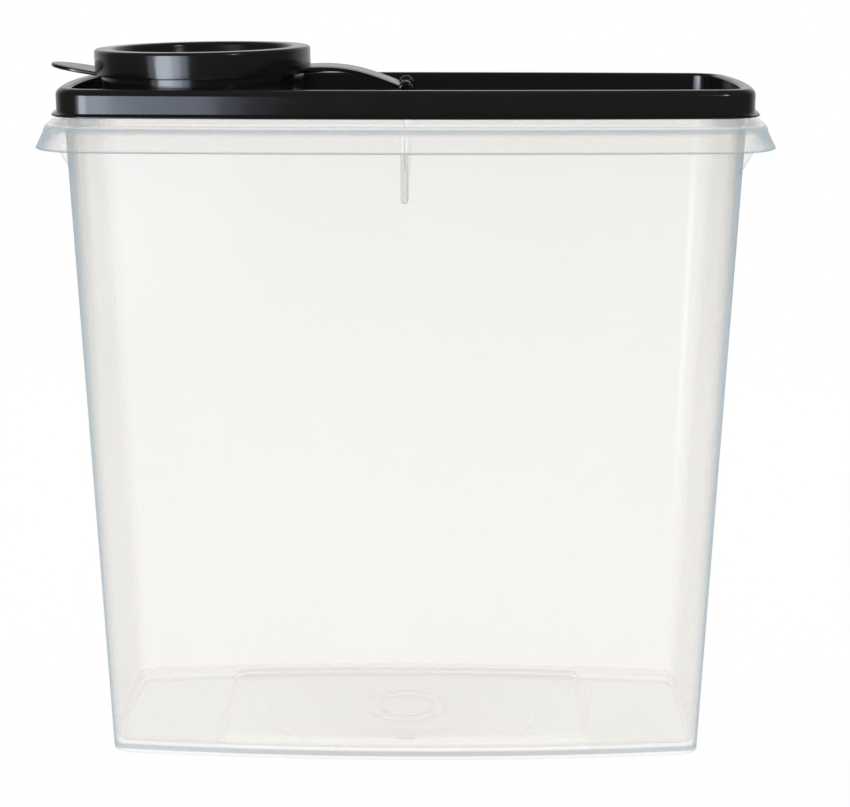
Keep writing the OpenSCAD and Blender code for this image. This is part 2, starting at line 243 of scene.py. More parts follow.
def upright_cylinder(radius, depth, x, z):
    """A cylinder that cuts a round hole in another piece."""
    bpy.ops.object.select_all(action="DESELECT")
    bpy.ops.mesh.primitive_cylinder_add(
        vertices=ROUND_STEPS,
        radius=radius * MM,
        depth=depth * MM,
        location=(x * MM, 0, z * MM),
    )
    bpy.ops.object.transform_apply(location=True, rotation=False, scale=False)
    return bpy.context.object


def bevelled(piece, width, segments, degrees=50):
    """Rounds the sharp edges of a piece, as a mould does."""
    select(piece)
    bevel = piece.modifiers.new("bevel", "BEVEL")
    bevel.width = width * MM
    bevel.segments = segments
    bevel.limit_method = "ANGLE"
    bevel.angle_limit = math.radians(degrees)
    bpy.ops.object.modifier_apply(modifier=bevel.name)
    return piece


def smooth(piece, degrees=32):
    """Smooth shading, with edges kept where faces meet at more than an angle."""
    select(piece)
    bpy.ops.object.shade_smooth_by_angle(angle=math.radians(degrees))


def finished(piece, node, body, material):
    """Lets a piece stand for its solid, on its body, in its finish."""
    piece.data.materials.clear()
    piece.data.materials.append(material)
    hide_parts(node)
    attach(piece, body)
    print(piece.name, "stands for", node, "with", len(piece.data.polygons), "faces")


# %% [markdown]
# The tub's wall is one skin: it starts under the base, turns up the outside, folds out into a
# shelf and down into a flared skirt, comes back to a thin collar, and runs down the inside to
# the floor. The foldings are small radii, because a sharp corner in a clear moulding would
# catch no light at all. A few rings near the foot shape nothing: they keep the blue tint and the
# painted shade of the floor's edge, which are written on vertices further on, from spreading up
# the wall.

# %% The tub's skin
TUB_H = 236.9
SHELF_Z = 226.5
FLANGE_Z = 218.3
SHELF_T = 1.4
WALL = 1.6
COLLAR_OUT = 1
FOOT_H = 1.8
FOOT_W = 2.6
FLOOR_Z = 3.6
BASE_EDGE_R = 1.2
FLOOR_FILLET = 2.4
SHELF_OUT = 6.3
SHOULDER_R = 2.4
SKIRT_OUT = 9
SKIRT_T = 1.2
TINT_RINGS = (1.6, 2.0, 2.8, 3.4, 4.2)


def wall_at(z):
    """The wall's outer outline at a height. It tapers up to the shelf."""
    return between(BASE, grown(RIM, -COLLAR_OUT), min(1, max(0, z / SHELF_Z)))


def off_rim(pairs):
    """Stations from pairs of an offset from the rim and a height."""
    return [(grown(RIM, out), z) for out, z in pairs]


under_shelf_z = SHELF_Z - SHELF_T
shoulder_in = SHELF_OUT - SHOULDER_R
outside = [
    (grown(wall_at(BASE_EDGE_R * up), BASE_EDGE_R * (across - 1)), BASE_EDGE_R * up)
    for across, up in quarter(5)
]
outside += [(wall_at(z), z) for z in (*TINT_RINGS, under_shelf_z - 0.7)]
outside += [
    (grown(wall_at(under_shelf_z), 0.2), under_shelf_z - 0.2),
    (grown(wall_at(under_shelf_z), 0.7), under_shelf_z),
]
under_flange = off_rim(
    (shoulder_in + (SHOULDER_R - SKIRT_T) * across, under_shelf_z - (SHOULDER_R - SHELF_T) * up)
    for across, up in quarter(4)
)
skirt_edge = off_rim([
    (SHELF_OUT - SKIRT_T + 0.15, SHELF_Z - SHOULDER_R - 0.3),
    (SKIRT_OUT - SKIRT_T - 0.5, FLANGE_Z + 1.0),
    (SKIRT_OUT - SKIRT_T - 0.1, FLANGE_Z + 0.2),
    (SKIRT_OUT - SKIRT_T + 0.15, FLANGE_Z),
    (SKIRT_OUT - 0.4, FLANGE_Z),
    (SKIRT_OUT - 0.1, FLANGE_Z + 0.12),
    (SKIRT_OUT, FLANGE_Z + 0.4),
    (SKIRT_OUT - 0.3, FLANGE_Z + 1.0),
    (SHELF_OUT + 0.25, SHELF_Z - SHOULDER_R - 0.6),
])
shoulder = off_rim(
    (SHELF_OUT - SHOULDER_R * (1 - math.cos(a)), SHELF_Z - SHOULDER_R * (1 - math.sin(a)))
    for a in [math.radians(degrees) for degrees in (18, 30, 42, 54, 66, 78, 90)]
)
collar = off_rim([
    (0.5, SHELF_Z),
    (0.15, SHELF_Z + 0.15),
    (0, SHELF_Z + 0.5),
    (0, TUB_H - 0.4),
    (-0.12, TUB_H - 0.12),
    (-0.4, TUB_H),
    (0.4 - WALL, TUB_H),
    (0.12 - WALL, TUB_H - 0.12),
    (-WALL, TUB_H - 0.4),
    (-WALL, SHELF_Z + 0.4),
    (-WALL - 0.3, SHELF_Z - 0.3),
])
inside = [(grown(wall_at(z), -WALL), z) for z in (under_shelf_z + 0.2, under_shelf_z - 0.4)]
inside += [
    (
        grown(wall_at(FLOOR_Z + FLOOR_FILLET * up), -WALL - FLOOR_FILLET * (1 - across)),
        FLOOR_Z + FLOOR_FILLET * up,
    )
    for across, up in reversed(quarter(6))
]
foot = [
    (grown(BASE, -FOOT_W - 0.4), FOOT_H),
    (grown(BASE, -FOOT_W), 0.4),
    (grown(BASE, -FOOT_W + 0.3), 0.0),
]
stations = foot + outside + under_flange + skirt_edge + shoulder + collar + inside
tub = loft("tub_shell", stations)
print("tub skin rings:", len(stations))

# %% [markdown]
# The middle of the floor is a panel raised by 3 mm, which stiffens it. It is one block with
# sloped sides fused on top of the floor, and another cut out underneath, so that the floor
# keeps about the same thickness everywhere. A boxy panel would look like a glued-on plate, so
# its outline bows with the tub's wall and has round corners.

# %% The raised floor panel
PANEL = (69, 36.8, 6, 845.4, 4000)
PANEL_RISE = 3
PANEL_UNDER = 0.9

top_steps = [(0, -0.9), (0, 0), (2.5, 2.5), (2.9, 2.8), (3.4, 2.95), (4.0, PANEL_RISE)]
panel_top = loft("panel_top", [(grown(PANEL, -d), FLOOR_Z + z) for d, z in top_steps])
cut_or_fuse(tub, panel_top, "UNION")
under_steps = [(0, -0.9), (0, 0), (2.6, 2.6), (3.0, 2.85), (3.6, PANEL_RISE)]
panel_under = loft(
    "panel_under", [(grown(PANEL, -PANEL_UNDER - d), FOOT_H + z) for d, z in under_steps]
)
cut_or_fuse(tub, panel_under, "DIFFERENCE")
print("tub with its floor panel:", len(tub.data.polygons), "faces")

# %% [markdown]
# Four thin webs brace the flange in the middle of each side, and the mould leaves plain rings
# and a small gate pad under the floor panel. They are fused with the tub, because a clear
# plastic shows every face that is left inside it.

# %% Webs under the flange
WEB_T = 2.6
WEB_H = 24.6
WEB_ROUND_H = 1.35
WEB_EDGE_R = 0.2


def web(name, half_size, turn):
    """A thin plate that stands out from the wall, under the flange, and ends in a round foot."""
    foot_z = SHELF_Z - WEB_H
    foot_x = wall_at(foot_z)[half_size]
    rim_x = RIM[half_size]
    foot = [(0.1, -1.1), (0.3, -0.9), (0.5, -0.5), (0.65, 0.0), (0.75, 0.6)]
    profile = [(foot_x - WALL / 2, foot_z - 1.2)]
    profile += [(foot_x + out, foot_z + up) for out, up in foot]
    profile += [
        (rim_x + SKIRT_OUT - 1.2 * SKIRT_T, FLANGE_Z - 0.3),
        (rim_x + SKIRT_OUT - 0.8 * SKIRT_T, FLANGE_Z + SKIRT_T / 2),
        (rim_x + SHELF_OUT - SKIRT_T / 2, SHELF_Z - SHOULDER_R),
        (rim_x + SHELF_OUT - SHOULDER_R, SHELF_Z - SHELF_T / 2),
        (rim_x - COLLAR_OUT - WALL / 2, SHELF_Z - SHELF_T / 2),
    ]
    piece = start_ring(name, [(x, -WEB_T / 2, z) for x, z in profile])
    bpy.ops.mesh.edge_face_add()
    bpy.ops.mesh.extrude_region_move(TRANSFORM_OT_translate={"value": (0, WEB_T * MM, 0)})
    close_shell()
    for vertex in piece.data.vertices:
        below = max(0, foot_z + 0.1 - vertex.co.z / MM) / WEB_ROUND_H
        vertex.co.y *= math.sqrt(1 - min(0.95, below ** 2))
    bevelled(piece, WEB_EDGE_R, 2, 60)
    piece.data.transform(Matrix.Rotation(turn, 4, "Z"))
    return piece


for count in range(4):
    cut_or_fuse(tub, web(f"web_{count}", count % 2, count * math.pi / 2), "UNION")
print("tub with webs:", len(tub.data.polygons), "faces")

# %% Mould marks under the floor
UNDER_PANEL = FOOT_H + PANEL_RISE
RING_T = 0.6
RING_EDGE = 0.2
RING_ROOT = 0.9
RING_MARKS = {"outer_mark": (31.2, 1.2), "inner_mark": (21, 1.2)}
PAD_W = 4.6
PAD_T = 1.5
PAD_Y = -29
PAD_LIFT = 0.15


def ring_mark(name, outer_d, width):
    """A low plain ring under the panel, its top inside the floor."""
    r = outer_d / 2
    top = UNDER_PANEL + RING_ROOT
    low = UNDER_PANEL - RING_T
    profile = [(r - width, top), (r - width, low + RING_EDGE), (r - width + RING_EDGE, low)]
    profile += [(r - RING_EDGE, low), (r, low + RING_EDGE), (r, top)]
    return turned(name, profile, 96)


for mark, (outer_d, width) in RING_MARKS.items():
    cut_or_fuse(tub, ring_mark(mark, outer_d, width), "UNION")
bpy.ops.object.select_all(action="DESELECT")
bpy.ops.mesh.primitive_cube_add(size=1, location=(0, PAD_Y * MM, (UNDER_PANEL + PAD_LIFT) * MM))
pad = bpy.context.object
pad.scale = (PAD_W * MM, PAD_W * MM, PAD_T * MM)
bpy.ops.object.transform_apply(location=True, rotation=False, scale=True)
cut_or_fuse(tub, pad, "UNION")
tub.name = "tub_moulding"
smooth(tub)
print("tub with mould marks:", len(tub.data.polygons), "faces")

# %% [markdown]
# Where light has a long way through the milky plastic, it is painted darker and bluer: along a
# web, at the shoulder and the lower edge of the flange, round the corners and along the floor's
# edge. That is partly the blue-grey of thick plastic and partly painted shade. It looks whiter,
# and no bluer, in the round edge of the floor inside and in the mould marks. So each vertex of the
# tub gets one number for each, and the material reads them.

# %% Where the plastic is thick, and where shade is painted
# How strongly each place is painted blue and darker: partly thick plastic's tint, partly painted
# shade.
WEB_BLUE_SHADE = 0.55
SHOULDER_BLUE_SHADE = 0.75
SKIRT_BLUE_SHADE = 0.95
CORNER_BLUE_SHADE = 0.8
FLOOR_BLUE_SHADE = 0.85
RING_MILK = 0.5
CORNER_TURN = 68
CORNER_FADE = 35
END_FADE = 6
MARK_REACH = 15.7
PAD_REACH = 4


def distance_outside(outline, x, y):
    """How far a point lies outside an outline. Inside it the number is negative."""
    half_w, half_d, corner_r, side_r, end_r = outline
    cx, cy = corner_centre(outline)
    side_y = half_d - side_r
    end_x = half_w - end_r
    x, y = abs(x), abs(y)
    if math.atan2(x, y - side_y) < math.atan2(cx, cy - side_y):
        return math.hypot(x, y - side_y) - side_r
    if math.atan2(y, x - end_x) < math.atan2(cy, cx - end_x):
        return math.hypot(x - end_x, y) - end_r
    return math.hypot(x - cx, y - cy) - corner_r


def corner_share(outline, x, y):
    """1 where a corner turns into the end, and less and less further round or along."""
    cx, cy = corner_centre(outline)
    turned_by = math.degrees(math.atan2(abs(y) - cy, abs(x) - cx))
    end_turn = math.degrees(math.atan2(cy, cx - outline[0] + outline[4]))
    if turned_by > end_turn:
        return min(1, max(0, (CORNER_TURN - turned_by + end_turn) / CORNER_FADE))
    return max(0, 1 - (cy + outline[2] * 0.1 - abs(y)) / END_FADE)


def blue_and_painted_shade(x, y, z):
    """How blue and dark the plastic is painted at a point of its outer side, from 0 to 1: partly
    its thick tint, partly painted shade.
    """
    wall = wall_at(z)
    out = distance_outside(wall, x, y)
    if z < FLANGE_Z - 0.2 and min(abs(x), abs(y)) < WEB_T / 2 + 0.05 and out > 0.05:
        return WEB_BLUE_SHADE
    rim_out = distance_outside(RIM, x, y)
    if rim_out > shoulder_in - 0.1 and SHELF_Z - 1.8 < z < SHELF_Z - 0.3:
        return SHOULDER_BLUE_SHADE
    if rim_out > SKIRT_OUT - 0.5 and z < FLANGE_Z + 0.6:
        return SKIRT_BLUE_SHADE
    if out > -0.1 and 1.0 < z < under_shelf_z:
        corner = CORNER_BLUE_SHADE * corner_share(wall, x, y)
        return max(FLOOR_BLUE_SHADE, corner) if FOOT_H < z < FLOOR_Z + 0.1 else corner
    return 0.0


def milky(x, y, z):
    """How much milkier a point is than the plain wall: in the floor's round edge and marks."""
    from_wall = -distance_outside(wall_at(z), x, y)
    if FOOT_H < z < UNDER_PANEL + 0.05 and math.hypot(x, y) < MARK_REACH:
        return RING_MILK
    if z < UNDER_PANEL and math.hypot(x, y - PAD_Y) < PAD_REACH:
        return 1.0
    if FLOOR_Z + 0.05 < z < FLOOR_Z + FLOOR_FILLET and from_wall > WALL + 0.05:
        return 1.0 if from_wall < WALL + FLOOR_FILLET + 0.1 else 0.0
    return 0.0


# The first number is the painted blue and shade, the second the extra milkiness.
for name, rule in (("blue_and_painted_shade", blue_and_painted_shade), ("milky", milky)):
    values = tub.data.attributes.new(name, "FLOAT", "POINT").data
    for vertex, entry in zip(tub.data.vertices, values):
        entry.value = rule(*(vertex.co / MM))
    print(name, "vertices:", sum(1 for entry in values if entry.value > 0.1))

# %% [markdown]
# The lid is a channel that grips the rim, a tray between the channel's inner walls, and a
# round neck that stands in the tray. The first two are one profile round the outline. The
# neck is spun, and its foot spreads in a wide radius, as the glossy highlight there shows.

# %% The lid's shell
LID_TOP = 238.4
LID_T = 1.45
LID_H = 9.2
SKIRT_GAP = 0.3
LID_WALL = 1.4
LID_OUT = SKIRT_GAP + LID_WALL
LIP_OUT = 1.7
LIP_T = 0.8
LID_EDGE_R = 2.4
TRAY_OFF = -3.3
LID_INNER_T = 1.3
DECK_Z = 230.9
DECK_T = 1.3

lid_foot = LID_TOP - LID_H
ceiling = LID_TOP - LID_T
deck_under = DECK_Z - DECK_T
shell = [
    (grown(RIM, TRAY_OFF + LID_INNER_T - 0.5), deck_under),
    (grown(RIM, TRAY_OFF + LID_INNER_T - 0.15), deck_under + 0.15),
    (grown(RIM, TRAY_OFF + LID_INNER_T), deck_under + 0.5),
    (grown(RIM, TRAY_OFF + LID_INNER_T), ceiling),
    (grown(RIM, SKIRT_GAP), ceiling),
    (grown(RIM, SKIRT_GAP), lid_foot + 0.2),
    (grown(RIM, SKIRT_GAP + 0.2), lid_foot),
    (grown(RIM, LID_OUT + LIP_OUT - 0.15), lid_foot),
    (grown(RIM, LID_OUT + LIP_OUT), lid_foot + 0.15),
    (grown(RIM, LID_OUT + LIP_OUT), lid_foot + 0.45 * LIP_T),
    (grown(RIM, LID_OUT + 0.85 * LIP_OUT), lid_foot + 0.8 * LIP_T),
    (grown(RIM, LID_OUT + 0.5 * LIP_OUT), lid_foot + LIP_T),
    (grown(RIM, LID_OUT + 0.22 * LIP_OUT), lid_foot + 1.25 * LIP_T),
    (grown(RIM, LID_OUT + 0.05 * LIP_OUT), lid_foot + 1.6 * LIP_T),
    (grown(RIM, LID_OUT), lid_foot + 2.1 * LIP_T),
]
shell += [
    (grown(RIM, LID_OUT - LID_EDGE_R * up), LID_TOP - LID_EDGE_R * (1 - across))
    for across, up in quarter(8)
]
shell += [
    (grown(RIM, TRAY_OFF + (1 - across)), LID_TOP - up)
    for across, up in quarter(5)
]
shell += [
    (grown(RIM, TRAY_OFF - up), DECK_Z + (1 - across))
    for across, up in quarter(5)
]
lid = loft("lid_shell", shell)
print("lid shell rings:", len(shell))

# %% The pouring neck
NECK_X = -71.1
NECK_R = 35.3
BORE_R = 33.5
NECK_TOP = 247.9
NECK_FLARE = 3
FLARE_H = 8.0
NECK_CUT_H = 30

neck_profile = [
    (BORE_R, deck_under + 0.4),
    (BORE_R + 0.4, deck_under),
    (NECK_R + 1.25 * NECK_FLARE, DECK_Z - DECK_T / 2),
    (NECK_R + 1.15 * NECK_FLARE, DECK_Z),
]
neck_profile += [
    (NECK_R + NECK_FLARE * (1 - across), DECK_Z + FLARE_H * up)
    for across, up in quarter(10)[1:]
]
neck_profile += [
    (NECK_R, NECK_TOP - 0.4),
    (NECK_R - 0.12, NECK_TOP - 0.12),
    (NECK_R - 0.4, NECK_TOP),
    (BORE_R + 0.4, NECK_TOP),
    (BORE_R + 0.12, NECK_TOP - 0.12),
    (BORE_R, NECK_TOP - 0.4),
]
neck_hole = upright_cylinder((BORE_R + NECK_R) / 2, NECK_CUT_H, NECK_X, DECK_Z)
cut_or_fuse(lid, neck_hole, "DIFFERENCE")
neck = turned("neck", neck_profile, ROUND_STEPS, NECK_X)
print("neck:", len(neck.data.polygons), "faces")

# %% [markdown]
# Two small ears stand on the tray in the middle of the lid. Each holds one of the stub pins
# on which the cap's strap turns, so each has a round top and a hole along the hinge.

# %% The ears of the hinge
HINGE_Z = 236.7
BARREL_R = 2.4
EAR_R = 2.6
EAR_Y = 12.3
EAR_T = 2.5
EAR_ROOT = 0.6
EAR_EDGE_R = 1.0
EAR_STEPS = 20
PIN_R = 1.1
PIN_GAP = 0.05


def ear(name, side):
    """A plate with a round top and a bevelled edge, on one side of the hinge."""
    base_z = DECK_Z - EAR_ROOT
    angles = [math.pi * i / EAR_STEPS for i in range(EAR_STEPS + 1)]
    top = [(EAR_R * math.cos(a), HINGE_Z + EAR_R * math.sin(a)) for a in angles]
    profile = [(-EAR_R, base_z), (EAR_R, base_z)] + top
    near = side * EAR_Y
    piece = start_ring(name, [(x, near, z) for x, z in profile])
    bpy.ops.mesh.edge_face_add()
    bpy.ops.mesh.extrude_region_move(
        TRANSFORM_OT_translate={"value": (0, side * EAR_T * MM, 0)}
    )
    close_shell()
    bevelled(piece, EAR_EDGE_R, 5, 30)
    bpy.ops.object.select_all(action="DESELECT")
    bpy.ops.mesh.primitive_cylinder_add(
        vertices=48,
        radius=(PIN_R + PIN_GAP) * MM,
        depth=20 * MM,
        location=(0, near * MM, HINGE_Z * MM),
        rotation=(math.pi / 2, 0, 0),
    )
    hole = bpy.context.object
    bpy.ops.object.transform_apply(location=True, rotation=True, scale=False)
    return cut_or_fuse(piece, hole, "DIFFERENCE")


ears = [ear("ear_front", -1), ear("ear_back", 1)]
lid = join("lid_moulding", lid, neck, *ears)
smooth(lid)
print("lid:", len(lid.data.polygons), "faces")

# %% [markdown]
# The cap is spun from one profile: a band round the neck, a rounded top ring, and a dish. The
# underside of the dish is the plug in the neck. The whole cap sits a touch higher at its
# strap, as it does in the photograph.

# %% The cap's body
CAP_R = 37.6
CAP_WALL = 1.4
CAP_TOP = 250.1
CAP_FOOT = 241.2
CAP_TOP_T = 1.5
DISH_Z = 244.4
DISH_T = 1.4
PLUG_R = 33.2
PLUG_DRAFT = 2.2
RING_W = 6.7
CAP_TILT = math.radians(0.8)
EDGE_R = 1.1
LIP_R = 1.5
DISH_LOW_R = 0.7
CAP_CUT_H = 40

dish_r = CAP_R - RING_W
band_in = CAP_R - CAP_WALL
ring_under = CAP_TOP - CAP_TOP_T
plug_foot = DISH_Z - DISH_T
dish_low_r = dish_r - PLUG_DRAFT / 2
cap_profile = [(band_in, CAP_FOOT), (CAP_R - 0.3, CAP_FOOT), (CAP_R - 0.08, CAP_FOOT + 0.08)]
cap_profile += [(CAP_R, CAP_FOOT + 0.35)]
cap_profile += [
    (CAP_R - EDGE_R * up, CAP_TOP - EDGE_R * (1 - across)) for across, up in quarter(6)
]
cap_profile += [
    (dish_r + LIP_R * (1 - across), CAP_TOP - LIP_R * up) for across, up in quarter(8)
]
cap_profile += [
    (dish_low_r - DISH_LOW_R * up, DISH_Z + DISH_LOW_R * (1 - across))
    for across, up in quarter(5)
]
cap_profile += [(0, DISH_Z), (0, plug_foot)]
cap_profile += [
    (PLUG_R - PLUG_DRAFT - 0.8, plug_foot),
    (PLUG_R - PLUG_DRAFT, plug_foot + 0.6),
    (PLUG_R, ring_under - 0.8),
    (PLUG_R, ring_under),
    (band_in, ring_under),
]
cap_body = turned("cap_body", cap_profile, ROUND_STEPS)
print("cap body:", len(cap_body.data.polygons), "faces")

# %% [markdown]
# The thumb tab is a flat tongue with a round end. It starts as a disc, one half of which is
# pushed out to a straight root in the band, and its edge is bevelled all round so that it
# takes a highlight.

# %% The thumb tab
TAB_R = 11.5
TAB_REACH = 15.8
TAB_T = 1.3
TAB_SLOPE = math.radians(10)
TAB_ROOT_IN = 3.0
TAB_EDGE_R = 0.45
tab_root_z = CAP_FOOT + 0.4
tab_end_x = -(CAP_R + TAB_REACH - TAB_R)

bpy.ops.object.select_all(action="DESELECT")
bpy.ops.mesh.primitive_cylinder_add(
    vertices=96,
    radius=TAB_R * MM,
    depth=TAB_T * MM,
    location=(tab_end_x * MM, 0, (tab_root_z + TAB_T / 2) * MM),
)
tab = bpy.context.object
tab.name = "thumb_tab"
bpy.ops.object.transform_apply(location=True, rotation=False, scale=False)
for vertex in tab.data.vertices:
    if vertex.co.x > tab_end_x * MM + 0.0001 * MM:
        vertex.co.x = (TAB_ROOT_IN - CAP_R) * MM
        vertex.co.y = math.copysign(TAB_R * MM, vertex.co.y) if abs(vertex.co.y) > 0.01 * MM else 0
select(tab)
bpy.ops.object.mode_set(mode="EDIT")
close_shell()
bevelled(tab, TAB_EDGE_R, 4)
hinge_of_tab = Matrix.Translation(Vector((-CAP_R, 0, tab_root_z)) * MM)
lift = Matrix.Rotation(TAB_SLOPE, 4, "Y")
tab.data.transform(hinge_of_tab @ lift @ hinge_of_tab.inverted())
print("thumb tab:", len(tab.data.polygons), "faces")

# %% [markdown]
# The tab is cut off inside the band, joined with the cap's body, and both are moved over the
# neck. The tilt turns the cap about the middle of its top.

# %% Seat the cap on the neck
cap_inside = upright_cylinder(CAP_R - CAP_WALL / 2, CAP_CUT_H, 0, CAP_TOP)
cut_or_fuse(tab, cap_inside, "DIFFERENCE")
cap = join("cap_body", cap_body, tab)
to_neck = Matrix.Translation(Vector((NECK_X, 0, CAP_TOP)) * MM)
tilt = Matrix.Rotation(-CAP_TILT, 4, "Y")
cap.data.transform(to_neck @ tilt @ Matrix.Translation(Vector((0, 0, -CAP_TOP)) * MM))
print("cap seated, top at mm:", round(max(v.co.z for v in cap.data.vertices) / MM, 2))

# %% [markdown]
# The strap is a thin ribbon that leaves the band, arches a little and falls to the hinge. A
# narrow outline of its side view is extruded across, and its edges are bevelled. It is twice
# as thick at its root, where it spreads along the band, as it is at the hinge.

# %% The strap and the hinge barrel
STRAP_W = 24
STRAP_T = 1.0
STRAP_STEPS = 28
STRAP_Z = 5
STRAP_ARCH = 1.4
STRAP_FLARE = 5
STRAP_EDGE_R = 0.28
strap_top = LID_TOP + STRAP_Z
root_x = NECK_X + CAP_R - 3 * CAP_WALL
handles = [
    Vector((root_x, strap_top)),
    Vector((0.55 * root_x, strap_top + STRAP_ARCH)),
    Vector((0.38 * root_x, HINGE_Z + 2.4 * BARREL_R)),
    Vector((-BARREL_R / 4, HINGE_Z + 0.1 * BARREL_R)),
]


def on_curve(t):
    """A point of the strap's top line, and the direction away from the strap there."""
    u = 1 - t
    a, b, c, d = handles
    point = u ** 3 * a + 3 * u * u * t * b + 3 * u * t * t * c + t ** 3 * d
    way = u * u * (b - a) + 2 * u * t * (c - b) + t * t * (d - c)
    return point, Vector((-way.y, way.x)).normalized()


upper = []
lower = []
for i in range(STRAP_STEPS + 1):
    point, away = on_curve(i / STRAP_STEPS)
    upper.append(point)
    lower.append(point - STRAP_T * (1 + max(0, 1 - 2 * i / STRAP_STEPS)) * away)
side = [(p.x, -STRAP_W / 2, p.y) for p in upper + lower[::-1]]
strap = start_ring("strap", side)
bpy.ops.mesh.edge_face_add()
bpy.ops.mesh.extrude_region_move(TRANSFORM_OT_translate={"value": (0, STRAP_W * MM, 0)})
close_shell()

root_half = [
    (root_x - STRAP_FLARE, STRAP_W / 2 + STRAP_FLARE),
    (root_x + 1.25, STRAP_W / 2 + 2.25),
    (root_x + 3.0, STRAP_W / 2 + 1.0),
    (root_x + 5, STRAP_W / 2),
]
outline = [(x, -y) for x, y in root_half] + [(x, y) for x, y in reversed(root_half)]
root = start_ring("strap_root", [(x, y, strap_top - STRAP_T) for x, y in outline])
bpy.ops.mesh.edge_face_add()
bpy.ops.mesh.extrude_region_move(TRANSFORM_OT_translate={"value": (0, 0, STRAP_T * MM)})
close_shell()
for piece in (strap, root):
    bevelled(piece, STRAP_EDGE_R, 3)
    band = upright_cylinder(CAP_R - CAP_WALL / 2, CAP_CUT_H, NECK_X, CAP_TOP)
    cut_or_fuse(piece, band, "DIFFERENCE")
print("strap:", len(strap.data.polygons), "faces")

# %% [markdown]
# At the hinge the strap ends in a barrel with a stub pin at each end, spun from one profile
# and laid on its side. It is slimmer here than in the solid model, because the full barrel
# stands above the strap and catches a white highlight that the photograph doesn't have.

# %% The barrel with its stub pins
KNUCKLE_R = 1.6
PIN_EDGE = 0.2
KNUCKLE_EDGE = 0.25
BARREL_STEPS = 48
pin_reach = EAR_Y + EAR_T
barrel_profile = [
    (0, -pin_reach),
    (PIN_R - PIN_EDGE, -pin_reach),
    (PIN_R, -pin_reach + PIN_EDGE),
    (PIN_R, -STRAP_W / 2),
    (KNUCKLE_R - KNUCKLE_EDGE, -STRAP_W / 2),
    (KNUCKLE_R, -STRAP_W / 2 + KNUCKLE_EDGE),
]
barrel_profile += [(r, -y) for r, y in reversed(barrel_profile)]
barrel = turned("hinge_barrel", barrel_profile, BARREL_STEPS)
barrel.data.transform(
    Matrix.Translation(Vector((0, 0, HINGE_Z)) * MM) @ Matrix.Rotation(math.pi / 2, 4, "X")
)
cap = join("spout_cap_moulding", cap, strap, root, barrel)
smooth(cap)
print("cap:", len(cap.data.polygons), "faces")

# %% [markdown]
# The black plastic is glossy, and its reflections show how it was made: a mould that is
# polished by hand leaves a faint waviness, and handling leaves a slight haze. Both come from
# noise that is fixed to the object, one in the bump and one in the roughness. The milky
# plastic is a thin cloud in front of what is behind it, so it mixes a see-through shader with
# a pale one. The cloud is denser edge on and where a vertex says so. There it is also painted blue
# and darker, partly the thick plastic's tint and partly painted shade, and that blue is left out
# where a face is seen from its back, so that the far corners stay neutral through the wall.

# %% The two plastics
BLACK = (0.008, 0.0078, 0.0076, 1)
WARM_MILK = (0.93, 0.87, 0.76, 1)
PALE_MILK = (0.88, 0.87, 0.85, 1)
# The blue-grey below is partly the thick plastic's tint and partly painted shade.
BLUE_PAINTED_SHADE = (0.30, 0.41, 0.50, 1)
EDGE_ON_MILK = 0.33
SHADED_BLUE_MILK = 0.6
FLOOR_MILK = 0.3


def new_material(name):
    """An empty node material with its output."""
    material = bpy.data.materials.new(name)
    material.use_nodes = True
    nodes = material.node_tree.nodes
    nodes.clear()
    return material, nodes, material.node_tree.links, nodes.new("ShaderNodeOutputMaterial")


def noise(nodes, links, scale, detail=3.0, stretch=(1, 1, 1)):
    """Noise on Object coordinates, as the socket of its value."""
    place = nodes.new("ShaderNodeTexCoord")
    mapping = nodes.new("ShaderNodeMapping")
    mapping.inputs["Scale"].default_value = stretch
    texture = nodes.new("ShaderNodeTexNoise")
    texture.inputs["Scale"].default_value = scale
    texture.inputs["Detail"].default_value = detail
    links.new(place.outputs["Object"], mapping.inputs["Vector"])
    links.new(mapping.outputs["Vector"], texture.inputs["Vector"])
    return texture.outputs["Fac"]


def ranged(nodes, links, value, low, high, start=0.3, stop=0.7):
    """A value mapped from one range to another."""
    mapped = nodes.new("ShaderNodeMapRange")
    mapped.inputs["From Min"].default_value = start
    mapped.inputs["From Max"].default_value = stop
    mapped.inputs["To Min"].default_value = low
    mapped.inputs["To Max"].default_value = high
    links.new(value, mapped.inputs["Value"])
    return mapped.outputs["Result"]


def black_plastic():
    """Glossy black with a faint haze and the waviness of a polished mould."""
    material, nodes, links, output = new_material("gloss_black_plastic")
    shader = nodes.new("ShaderNodeBsdfPrincipled")
    shader.inputs["Base Color"].default_value = BLACK
    shader.inputs["IOR"].default_value = 1.5
    haze = ranged(nodes, links, noise(nodes, links, 60), 0.10, 0.17)
    links.new(haze, shader.inputs["Roughness"])
    bump = nodes.new("ShaderNodeBump")
    bump.inputs["Strength"].default_value = 0.08
    bump.inputs["Distance"].default_value = 0.0004
    links.new(noise(nodes, links, 90, 1.0), bump.inputs["Height"])
    links.new(bump.outputs["Normal"], shader.inputs["Normal"])
    links.new(shader.outputs["BSDF"], output.inputs["Surface"])
    return material


def power(nodes, links, value, exponent):
    """A value raised to a power."""
    node = nodes.new("ShaderNodeMath")
    node.operation = "POWER"
    node.inputs[1].default_value = exponent
    links.new(value, node.inputs[0])
    return node.outputs["Value"]


def joined(nodes, links, operation, first, second):
    """Two values joined by a Math operation."""
    node = nodes.new("ShaderNodeMath")
    node.operation = operation
    links.new(first, node.inputs[0])
    links.new(second, node.inputs[1])
    return node.outputs["Value"]


def written(nodes, name):
    """The number that each vertex carries under a name."""
    attribute = nodes.new("ShaderNodeAttribute")
    attribute.attribute_name = name
    return attribute.outputs["Fac"]


